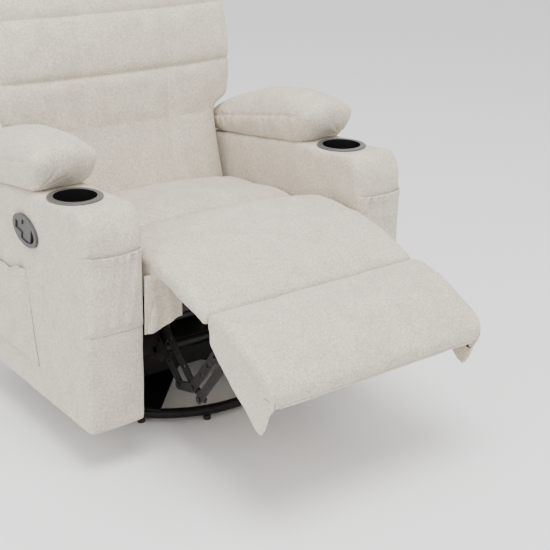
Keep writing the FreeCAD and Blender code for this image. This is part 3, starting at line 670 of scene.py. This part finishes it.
def make_footrest():
    """The footrest's pad with the cloth sides that hang from it, notched at both front corners, with the
    notch faces coloured black as painted shade.
    """
    outline = [(-0.592, 0.395), (-0.592, 0.412), (-0.5925, 0.425), (-0.602, 0.429), (-0.626, 0.430)]
    outline += [(-0.650, 0.427), (-0.685, 0.418), (-0.717, 0.405), (-0.763, 0.383), (-0.792, 0.366)]
    outline += [(-0.806, 0.353), (-0.813, 0.336), (-0.812, 0.318), (-0.806, 0.298), (-0.794, 0.298)]
    outline += [(-0.7925, 0.304)]
    pad = extrude("footrest_cover", outline, -0.281, 0.281)
    side = [(-0.597, 0.412), (-0.597, 0.362), (-0.621, 0.340), (-0.649, 0.318), (-0.686, 0.288)]
    side += [(-0.717, 0.268), (-0.750, 0.239), (-0.769, 0.231), (-0.785, 0.251), (-0.795, 0.280)]
    side += [(-0.804, 0.298), (-0.808, 0.335), (-0.790, 0.360), (-0.700, 0.405), (-0.640, 0.422)]
    near = extrude("near_side", side, -0.282, -0.273)
    far = extrude("far_side", side, 0.273, 0.282)
    join(pad, near, far)
    remesh(pad, 0.0045)
    points = read_points(pad)
    relax(pad, 5, held=0.85 * np.exp(-(((points[:, 1] + 0.590) / 0.014) ** 2)))
    points = read_points(pad)
    low = table([-0.80, -0.60], [0.315, 0.400], points[:, 1])
    pinned = smooth_step(0.03, 0.0, points[:, 2] - low)
    pinned = np.maximum(pinned, np.exp(-((points[:, 1] + 0.592) / 0.008) ** 2))
    swell(pad, 2.0, 0.007, np.clip(pinned, 0, 1))
    relax(pad, 2)
    subdivide(pad)
    points = read_points(pad)
    normals = read_normals(pad)
    facing = np.clip(normals[:, 2] - 0.2, 0, 1)
    seam = np.zeros(len(points))
    for line in (-PAD_SEAM_X, PAD_SEAM_X):
        seam += groove(points[:, 0] - line, 0.006, 0.0030) * facing
    seam += 0.0009 * value_noise(points, 0.10, 31)
    push(pad, seam)
    for sign in (-1, 1):
        wedge = [(-0.830, 0.280), (-0.784, 0.280), (-0.784, 0.304), (-0.830, 0.312)]
        cut_away(pad, extrude("notch", wedge, sign * 0.2745, sign * 0.2600, around=40))
    # Painted shade: the faces inside each corner notch are coloured black to stand for the shade in the
    # notch.
    for face in pad.data.polygons:
        x, y, z = pad.matrix_world @ face.center
        across = 0.2605 < abs(x) < 0.2740
        along = -0.8035 < y - SWIVEL_Y < -0.778
        in_notch = across and along and 0.279 < z < 0.3105
        face.material_index = PAINTED_NOTCH_SHADE if in_notch else 0
    for x in (-PAD_SEAM_X, PAD_SEAM_X):
        stitch(pad, straight((x, -0.600, 0.7), (x, -0.795, 0.7), 70), (0, 0, -1))
    # Painted shadow: dark lines along the front hem, along the seam with the chaise and around the L-shaped
    # tabs at both front corners, standing for the shade in these seams.
    front_hem = straight((-0.262, -0.95, 0.3095), (0.262, -0.95, 0.3095), 150)
    stitch(pad, front_hem, (0, 1, 0), PAINTED_SEAM_SHADOW, 0.0005)
    chaise_seam = straight((-0.274, -0.5958, 0.7), (0.274, -0.5958, 0.7), 150)
    stitch(pad, chaise_seam, (0, 0, -1), PAINTED_SEAM_SHADOW, 0.0010)
    for sign in (-1, 1):
        upright = straight((sign * 0.2755, -0.95, 0.306), (sign * 0.2755, -0.95, 0.3225), 10)
        across = straight((sign * 0.40, -0.802, 0.3225), (sign * 0.40, -0.782, 0.3225), 10)
        stitch(pad, upright, (0, 1, 0), PAINTED_SEAM_SHADOW, 0.0009)
        stitch(pad, across, (-sign, 0, 0), PAINTED_SEAM_SHADOW, 0.0009)
    covered = ("footrest_pad", "footrest_skirt_left", "footrest_skirt_right")
    upholstered(pad, "footrest", *covered, fill=0.75)


APRON_TOP = 0.446
APRON_LENGTH = 0.135
APRON_INNER_X = 0.206
APRON_WIDTH = 0.0945


def make_aprons():
    """The loose cloth flaps that hang from the chaise pad on both sides and close the seat's front."""
    hem_x = [APRON_INNER_X, 0.227, 0.243, 0.263, 0.301]
    hem_z = [0.334, 0.331, 0.325, 0.3145, APRON_TOP - APRON_LENGTH]
    for name, sign in (("apron_left", 1), ("apron_right", -1)):
        rows = 40
        columns = 34
        outer = []
        inner = []
        for r in range(rows):
            share = r / (rows - 1)
            front = []
            back = []
            for c in range(columns):
                x = APRON_INNER_X + APRON_WIDTH * c / (columns - 1)
                z = APRON_TOP - share * (APRON_TOP - table(hem_x, hem_z, x))
                wave = 0.0030 * share * math.sin(x * 150.0 + 1.2 * math.sin(z * 40.0))
                crease = 0.0035 * math.exp(-((x - 0.281 + 0.25 * (z - 0.37)) / 0.0035) ** 2)
                crease *= float(smooth_step(0.40, 0.36, z))
                front.append((sign * x, -0.3880 + wave + crease, z))
                back.append((sign * x, -0.3860 + wave + crease, z))
            outer.append(front)
            inner.append(back)
        apron = sheet_from_grid(name, outer, inner)
        hung_sheet(apron, "front_flaps")
        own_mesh(apron)


# ---------------------------------------------------------------- arms
ARM_X = 0.368
ARM_OUTER_X = 0.4395
CUP_X = 0.373
CUP_Y = -0.230
HANDLE_CENTRE = (-0.440, -0.123, 0.502)
HANDLE_TILT = math.radians(10.5)
FRONT_POCKET_FLOOR = 0.334
SIDE_POCKET_FLOOR = 0.184


def cylinder(name, centre, radius, z0, z1):
    """An upright round plug between two heights."""
    around = 64
    rings = []
    for z in (z0, z1):
        ring = []
        for k in range(around):
            turn = 2.0 * math.pi * k / around
            x = centre[0] + radius * math.cos(turn)
            y = centre[1] + radius * math.sin(turn)
            ring.append((x, y, z))
        rings.append(ring)
    return loft(name, rings)


def handle_point(u, v, w):
    """Local handle coordinates: u forwards along it, v across it, w out of the arm."""
    x, y, z = HANDLE_CENTRE
    y += -u * math.cos(HANDLE_TILT) - v * math.sin(HANDLE_TILT)
    z += -u * math.sin(HANDLE_TILT) + v * math.cos(HANDLE_TILT)
    return (x - w, y, z)


def make_arm(side):
    """One arm's cover, with its cup hole and, on the sitter's right, the hole for the handle."""
    sign = 1 if side == "left" else -1
    outline = [(-0.380, 0.103), (0.298, 0.103), (0.298, 0.536), (0.280, 0.542), (-0.150, 0.594)]
    outline += [(-0.230, 0.597), (-0.300, 0.603), (-0.345, 0.603), (-0.368, 0.590), (-0.380, 0.560)]
    arm = extrude("arm_cover_" + side, outline, sign * 0.2965, sign * ARM_OUTER_X)
    remesh(arm, 0.0075)
    relax(arm, 9)
    points = read_points(arm)
    face = smooth_step(-0.33, -0.378, points[:, 1])
    middle = 1.0 - (np.abs(points[:, 0]) - ARM_X) ** 2 / 0.072 ** 2
    height = smooth_step(0.10, 0.20, points[:, 2]) * smooth_step(0.62, 0.50, points[:, 2])
    points[:, 1] -= 0.006 * face * np.clip(middle, 0, 1) * height
    crest = smooth_step(0.55, 0.592, points[:, 2])
    points[:, 2] += 0.007 * np.clip(middle, 0, 1) * crest
    write_points(arm, points)
    subdivide(arm)
    points = read_points(arm)
    push(arm, 0.0012 * value_noise(points, 0.13, 41 if sign > 0 else 42))
    points = read_points(arm)
    away = np.hypot(points[:, 0] - sign * CUP_X, points[:, 1] - CUP_Y)
    sunk = smooth_step(0.130, 0.064, away) * smooth_step(0.57, 0.585, points[:, 2])
    points[:, 2] = points[:, 2] * (1.0 - sunk) + np.minimum(points[:, 2], 0.5938) * sunk
    write_points(arm, points)
    cut_away(arm, cylinder("cup_cutter", (sign * CUP_X, CUP_Y), 0.0525, 0.505, 0.70))
    if sign < 0:
        rings = []
        for w in (-0.045, 0.03):
            ring = []
            for k in range(64):
                turn = 2.0 * math.pi * k / 64
                ring.append(handle_point(0.0505 * math.cos(turn), 0.0275 * math.sin(turn), w))
            rings.append(ring)
        cut_away(arm, loft("handle_cutter", rings))
    # Painted shadow: a dark line along the front pocket's lower edge, and on the sitter's right dark lines
    # along the side pocket's front, lower and rear edges, standing for the shade under the pockets' edges.
    front = [(sign * x, -0.6, 0.333) for x in np.linspace(0.306, 0.430, 50)]
    stitch(arm, front, (0, 1, 0), PAINTED_SEAM_SHADOW, 0.0006)
    if sign < 0:
        front_edge = straight((-0.6, -0.1093, 0.388), (-0.6, -0.1513, 0.184), 70)
        low_edge = straight((-0.6, -0.150, 0.1832), (-0.6, 0.104, 0.1832), 70)
        rear_edge = straight((-0.6, 0.1055, 0.184), (-0.6, 0.1055, 0.402), 70)
        for edge, radius in ((front_edge, 0.0015), (low_edge, 0.0006), (rear_edge, 0.0006)):
            stitch(arm, edge, (1, 0, 0), PAINTED_SEAM_SHADOW, radius)
    upholstered(arm, "carriage", "arm_" + side, fill=0.9)
    return arm


PILLOW_SEAM = [(-0.198, 0.668), (-0.104, 0.657), (0.158, 0.607), (0.240, 0.590)]


def make_pillow(side):
    """The puffy pillow on one arm, with a seam round it and gathers at its front corners."""
    sign = 1 if side == "left" else -1
    profile = [(0.236, 0.552), (0.150, 0.5560), (0.000, 0.5735), (-0.100, 0.5870), (-0.150, 0.5930)]
    profile += [(-0.160, 0.600), (-0.174, 0.616), (-0.186, 0.642), (-0.191, 0.664), (-0.188, 0.682)]
    profile += [(-0.180, 0.696), (-0.155, 0.704), (-0.110, 0.708), (-0.060, 0.708), (0.000, 0.701)]
    profile += [(0.050, 0.690), (0.103, 0.671), (0.171, 0.648), (0.225, 0.626), (0.241, 0.606)]
    loop = resample(profile, 220)
    seam_y, seam_z = zip(*PILLOW_SEAM)
    rings = []
    for turn in np.linspace(-math.pi / 2, math.pi / 2, 46):
        t = 0.9995 * math.sin(turn)
        over = (1.0 - abs(t) ** 2.3) ** (1 / 2.1)
        under = (1.0 - abs(t) ** 12.0) ** (1 / 2.5)
        length = 0.96 + 0.04 * (1.0 - abs(t) ** 5.0) ** 0.5
        ring = []
        for y, z in loop:
            y = 0.02 + (y - 0.02) * length
            middle = table(seam_y, seam_z, y)
            share = over if z > middle else under
            ring.append((sign * (ARM_X + 0.077 * t), y, middle + (z - middle) * share))
        rings.append(ring)
    pillow = loft("arm_pillow_" + side, rings)
    remesh(pillow, 0.005)
    relax(pillow, 2)
    points = read_points(pillow)
    floor_z = table([-0.152, -0.100, 0.150, 0.236], [0.593, 0.587, 0.556, 0.552], points[:, 1])
    pinned = smooth_step(0.014, 0.0, points[:, 2] - floor_z)
    swell(pillow, 3.0, 0.008, pinned, grow=0.01)
    relax(pillow, 1)
    subdivide(pillow)
    points = read_points(pillow)
    normals = read_normals(pillow)
    above_seam = points[:, 2] - table(seam_y, seam_z, points[:, 1])
    sides = smooth_step(0.3, 0.8, np.abs(normals[:, 0])) * smooth_step(-0.165, -0.13, points[:, 1])
    amount = groove(above_seam, 0.0035, 0.0045) * sides
    ripple = np.sin(points[:, 1] * 190.0 + 2.2 * np.sin(points[:, 1] * 37.0))
    amount += 0.0016 * ripple * sides * np.exp(-np.abs(above_seam + 0.014) / 0.016)
    for corner in (-1, 1):
        from_corner = points - np.array([sign * ARM_X + corner * 0.066, -0.158, 0.598])
        reach = np.linalg.norm(from_corner, axis=1)
        angle = np.arctan2(from_corner[:, 2], -corner * from_corner[:, 0] + from_corner[:, 1])
        fade = np.exp(-reach / 0.048) * smooth_step(0.0, 0.014, reach)
        folds = np.sin(angle * 9.0 + 1.3 * corner) + 0.4 * np.sin(angle * 17.0)
        depth = 0.0024 if corner == sign else 0.0006
        amount += depth * folds * fade
        amount -= 0.002 * np.exp(-((reach / 0.014) ** 2))
    amount += 0.0014 * value_noise(points, 0.075, 51 if sign > 0 else 52)
    push(pillow, amount)
    for out in (-1, 1):
        x = sign * ARM_X + out * 0.12
        line = [(x, y, table(seam_y, seam_z, y)) for y in np.linspace(-0.150, 0.205, 90)]
        stitch(pillow, line, (-out, 0, 0), radius=0.0010)
    upholstered(pillow, "carriage", "arm_pad_" + side, fill=0.85)


def sheet_from_grid(name, outer, inner):
    """A closed thin sheet from two grids of the same shape, outside and inside."""
    outer = np.array(outer)
    inner = np.array(inner)
    rows, columns, _ = outer.shape
    count = rows * columns
    points = np.concatenate([outer.reshape(-1, 3), inner.reshape(-1, 3)])
    faces = []
    for r in range(rows - 1):
        for c in range(columns - 1):
            a = r * columns + c
            faces.append((a, a + 1, a + columns + 1, a + columns))
            faces.append((count + a, count + a + columns, count + a + columns + 1, count + a + 1))
    rim = [c for c in range(columns)]
    rim += [r * columns + columns - 1 for r in range(1, rows)]
    rim += [(rows - 1) * columns + c for c in range(columns - 2, -1, -1)]
    rim += [r * columns for r in range(rows - 2, 0, -1)]
    for number, a in enumerate(rim):
        b = rim[(number + 1) % len(rim)]
        faces.append((b, a, count + a, count + b))
    piece = make_object(name, place(points), faces)
    face_outward(piece)
    return piece


def make_front_pocket(side, arm):
    """The gathered pocket on one arm's front, laid on the arm's cover."""
    sign = 1 if side == "left" else -1
    rows = 70
    columns = 60
    outer = []
    inner = []
    for r in range(rows):
        down = r / (rows - 1)
        top_row = []
        back_row = []
        for c in range(columns):
            across = c / (columns - 1)
            x = sign * (0.299 + 0.138 * across)
            top_z = 0.512 - 0.004 * math.sin(math.pi * across)
            z = top_z - down * (top_z - FRONT_POCKET_FLOOR)
            hit = surface_hits(arm, [(x, -0.45, z)], (0, 1, 0))[0]
            base = hit[1] if hit else -0.372
            edge = min(1.0, min(across, 1.0 - across) / 0.10, (1.0 - down) / 0.12)
            edge = edge * edge * (3 - 2 * edge)
            gather = math.exp(-down / 0.30) * smooth_step(0.0, 0.04, down)
            inward = smooth_step(0.85, 0.25, across)
            folds = 0.0042 * math.sin(across * 44.0 + 1.1 * math.sin(down * 9.0)) * gather * inward
            folds += 0.0016 * math.sin(across * 23.0 - 6.0 * down) * smooth_step(0.0, 0.05, down) * inward
            bulge = 0.0018 + (0.0050 + 0.003 * math.exp(-down / 0.15)) * edge + folds * edge
            hem = 0.0011 * smooth_step(0.10, 0.085, down)
            top_row.append((x, base - bulge - hem, z))
            back_row.append((x, base - max(bulge - 0.0025, -0.001), z))
        outer.append(top_row)
        inner.append(back_row)
    pocket = sheet_from_grid("pocket_front_" + side, outer, inner)
    hung_sheet(pocket, "front_pocket_" + side)


def make_side_pocket():
    """The patch pocket on the outside of the sitter's right arm."""
    face_x = -0.4392
    rows = 60
    columns = 60
    outer = []
    inner = []
    for r in range(rows):
        down = r / (rows - 1)
        top_row = []
        back_row = []
        for c in range(columns):
            across = c / (columns - 1)
            y_top = -0.108 + across * 0.212
            y_low = -0.150 + across * 0.254
            top_z = 0.389 + 0.017 * smooth_step(0.36, 0.12, across)
            y = y_top + (y_low - y_top) * down
            z = top_z - down * (top_z - SIDE_POCKET_FLOOR)
            edge = min(1.0, min(across, 1.0 - across) / 0.06, (1.0 - down) / 0.06)
            edge = edge * edge * (3 - 2 * edge)
            bulge = 0.0022 + 0.0050 * edge
            bulge += 0.0012 * edge * math.sin(across * 22.0 + 2.0 * down)
            hem = 0.0012 * smooth_step(0.10, 0.085, down)
            top_row.append((face_x - bulge - hem, y, z))
            back_row.append((face_x - max(bulge - 0.0025, -0.001), y, z))
        outer.append(top_row)
        inner.append(back_row)
    pocket = sheet_from_grid("pocket_side", outer, inner)
    hung_sheet(pocket, "side_pocket")


# ---------------------------------------------------------------- CAD pieces
def dress_frame():
    """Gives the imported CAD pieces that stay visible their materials."""
    black = ["base_ring", "base_legs", "hub_plate", "deck_plate", "glider_uprights"]
    black += ["front_glide_links", "rear_glide_links", "side_plate_left", "side_plate_right"]
    black += ["front_cross_tube", "rear_cross_tube", "drive_tube", "drive_link_left", "drive_link_right"]
    black += ["idler_links", "coupler_links", "control_links"]
    black += ["footrest_brackets", "back_brackets", "release_latch"]
    zinc = ["lower_race", "upper_race", "swivel_kingpin", "bearing_balls", "upper_glide_pins"]
    zinc += ["lower_glide_pins", "linkage_pins", "handle_pin", "seat_springs"]
    plastic = ["floor_glides", "ball_cage", "front_glide_bushes", "rear_glide_bushes", "cable_ferrule"]
    timber = ["arm_frames", "back_frame", "footrest_board"]
    groups = [(black, BLACK_STEEL), (zinc, ZINC_STEEL), (plastic, BLACK_PLASTIC), (timber, PLYWOOD)]
    # The seat frame gets the near-black painted shade in place of its plywood.
    groups += [(["handle_paddle"], GREY_PLASTIC), (["seat_frame"], SEAT_FRAME_SHADE)]
    for names, material in groups:
        for name in names:
            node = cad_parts[name]
            node.data.materials.clear()
            node.data.materials.append(material)
    two_toned = [("cup_holder_left", CUP_RIM, CUP_BLACK), ("cup_holder_right", CUP_RIM, CUP_BLACK)]
    two_toned += [("handle_bezel", GREY_PLASTIC, BLACK_PLASTIC)]
    for name, rim, inside in two_toned:
        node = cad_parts[name]
        node.data.materials.clear()
        node.data.materials.append(rim)
        node.data.materials.append(inside)
        for face in node.data.polygons:
            centre = node.matrix_world @ face.center
            if name == "handle_bezel":
                outside = centre.x < -0.4399
            else:
                reach = math.hypot(abs(centre.x) - CUP_X, centre.y - SWIVEL_Y - CUP_Y)
                outside = centre.z > 0.590 and reach > 0.0485
            face.material_index = 0 if outside else 1


# ---------------------------------------------------------------- stage
def make_stage():
    """A pale floor, a white room and three soft lamps."""
    corners = [(-30, -30, 0), (30, -30, 0), (30, 30, 0), (-30, 30, 0)]
    floor = make_object("floor", corners, [(0, 1, 2, 3)])
    material, _, _, surface = new_material("floor")
    surface.inputs["Base Color"].default_value = (0.90, 0.90, 0.90, 1.0)
    surface.inputs["Roughness"].default_value = 0.9
    floor.data.materials.append(material)

    world = bpy.data.worlds.new("studio")
    bpy.context.scene.world = world
    world.use_nodes = True
    background = world.node_tree.nodes["Background"]
    background.inputs["Color"].default_value = (1.0, 1.0, 1.0, 1.0)
    background.inputs["Strength"].default_value = 1.18

    lights = [
        ("key", (-0.8, -1.5, 4.4), 2.4, 190.0),
        ("fill", (-4.2, -0.4, 2.2), 3.0, 72.0),
        ("top", (1.2, -2.2, 3.6), 3.0, 40.0),
    ]
    for name, spot, size, power in lights:
        data = bpy.data.lights.new(name, "AREA")
        data.shape = "DISK"
        data.size = size
        data.energy = power
        lamp = bpy.data.objects.new(name, data)
        lamp.location = spot
        aim = Vector((0.0, 0.0, 0.45)) - Vector(spot)
        lamp.rotation_mode = "QUATERNION"
        lamp.rotation_quaternion = aim.to_track_quat("-Z", "Y")
        bpy.context.collection.objects.link(lamp)


def make_camera():
    """The camera in front of the chair, on the sitter's right."""
    heading = math.radians(36.56)
    pitch = math.radians(18.77)
    roll = math.radians(0.53)
    ahead = math.cos(pitch)
    forward = Vector((math.sin(heading) * ahead, math.cos(heading) * ahead, -math.sin(pitch)))
    level = Vector((math.cos(heading), -math.sin(heading), 0.0))
    upright = level.cross(forward)
    right = level * math.cos(roll) + upright * math.sin(roll)
    up = upright * math.cos(roll) - level * math.sin(roll)
    turn = Matrix((right, up, -forward)).transposed()
    data = bpy.data.cameras.new("camera")
    data.lens = 75.57
    data.sensor_width = 36.0
    data.shift_x = 0.0444
    data.shift_y = -0.0981
    camera = bpy.data.objects.new("camera", data)
    camera.rotation_mode = "QUATERNION"
    camera.location = (-1.4697, -2.1525, 1.3410)
    camera.rotation_quaternion = turn.to_quaternion()
    bpy.context.collection.objects.link(camera)
    bpy.context.scene.camera = camera


make_camera()
make_stage()
dress_frame()
make_back()
make_rear()
make_seat()
make_chaise()
make_footrest()
make_aprons()
for arm_side in ("left", "right"):
    arm_cover = make_arm(arm_side)
    make_pillow(arm_side)
    make_front_pocket(arm_side, arm_cover)
    if arm_side == "right":
        make_side_pocket()
